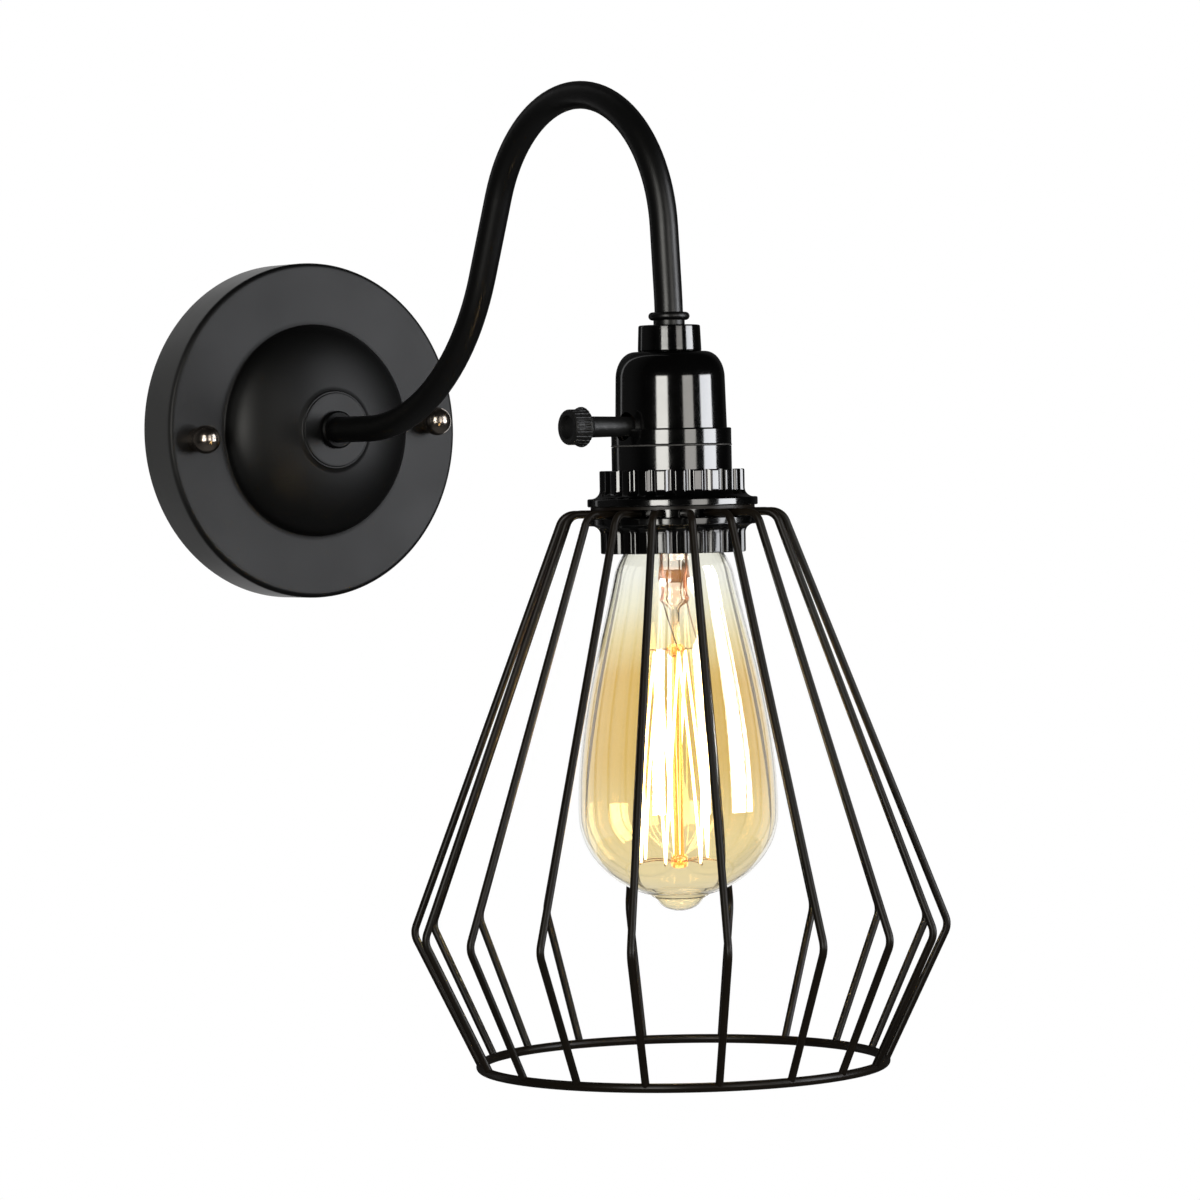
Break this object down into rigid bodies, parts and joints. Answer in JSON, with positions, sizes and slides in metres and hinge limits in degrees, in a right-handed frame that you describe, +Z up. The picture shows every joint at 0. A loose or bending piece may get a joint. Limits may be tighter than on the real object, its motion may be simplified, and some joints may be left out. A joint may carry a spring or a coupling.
{
  "type": "wall light",
  "caption": "Wall light with a gooseneck arm on a round domed canopy, a switched socket, a flared wire cage held between fluted shade rings, and a pear-shaped filament lamp.",
  "frame": {"origin": "on the wall, at the centre of the canopy and of the two wall screw slots", "axes": "+Z up the wall, +Y into the wall, so the arm and lamp reach along -Y; +X to the right seen from the room"},
  "size_m": [0.1738, 0.3219, 0.3218],
  "materials": {
    "canopy_paint": "matte dark grey-black powder coat",
    "zinc_steel": "zinc-plated steel",
    "black_nickel": "polished black nickel",
    "ivory_plastic": "ivory polyamide",
    "brass": "plain brass",
    "tinned_copper": "tinned copper",
    "wire_earth": "green and yellow insulation",
    "wire_live": "brown insulation",
    "wire_neutral": "blue insulation",
    "arm_paint": "satin black paint",
    "pearl_black": "polished pearl black",
    "dark_steel": "blackened steel",
    "liner_card": "pressed insulating card",
    "porcelain": "glazed porcelain",
    "brown_phenolic": "brown phenolic",
    "knob_plastic": "matte black plastic",
    "cage_paint": "satin black paint",
    "nickel_base": "plated lamp base",
    "black_glass": "black base glass",
    "solder": "tinned contact",
    "amber_glass": "amber-tinted clear glass",
    "clear_glass": "clear glass",
    "lead_metal": "nickel wire",
    "filament_glow": "glowing filament"
  },
  "bodies": {
    "light": {"canopy": "canopy_paint", "mounting_bracket": "zinc_steel", "canopy_studs": "zinc_steel", "stud_lock_nuts": "zinc_steel", "ball_nuts": "black_nickel", "terminal_block": "ivory_plastic", "terminal_inserts": "brass", "terminal_screws": "zinc_steel", "block_screw": "zinc_steel", "earth_screw": "brass", "earth_lug": "tinned_copper", "earth_wire": "wire_earth", "live_wire": "wire_live", "neutral_wire": "wire_neutral", "arm_tube": "arm_paint", "arm_collar": "arm_paint", "arm_washer": "zinc_steel", "arm_lock_nut": "zinc_steel", "cable_bush": "ivory_plastic", "arm_end_ring": "arm_paint", "neck_collar": "pearl_black", "grub_screw": "dark_steel", "socket_nut": "zinc_steel", "socket_cap": "pearl_black", "socket_shell": "pearl_black", "shell_liner": "liner_card", "socket_core": "porcelain", "screw_shell": "brass", "centre_contact": "brass", "socket_screws": "brass", "switch_body": "brown_phenolic", "switch_leaf": "brass", "upper_shade_ring": "pearl_black", "lower_shade_ring": "pearl_black", "cage_hub": "cage_paint", "cage_wires": "cage_paint", "cage_mouth_ring": "cage_paint"},
    "switch": {"switch_spindle": "zinc_steel", "switch_cam": "ivory_plastic", "switch_knob": "knob_plastic"},
    "bulb": {"bulb_base": "nickel_base", "base_insulator": "black_glass", "bulb_contact": "solder", "bulb_glass": "amber_glass", "glass_stem": "clear_glass", "lead_wires": "lead_metal", "filament_hooks": "lead_metal", "filament": "filament_glow"}
  },
  "joints": [
    {"name": "switch_turn", "type": "hinge", "parent": "light", "child": "switch", "pos_m": [0, -0.23516, -0.0025], "axis": [1, 0, 0], "continuous": true},
    {"name": "bulb_out", "type": "slide", "parent": "light", "child": "bulb", "axis": [0, 0, -1], "range_m": [0, 0.2]}
  ]
}
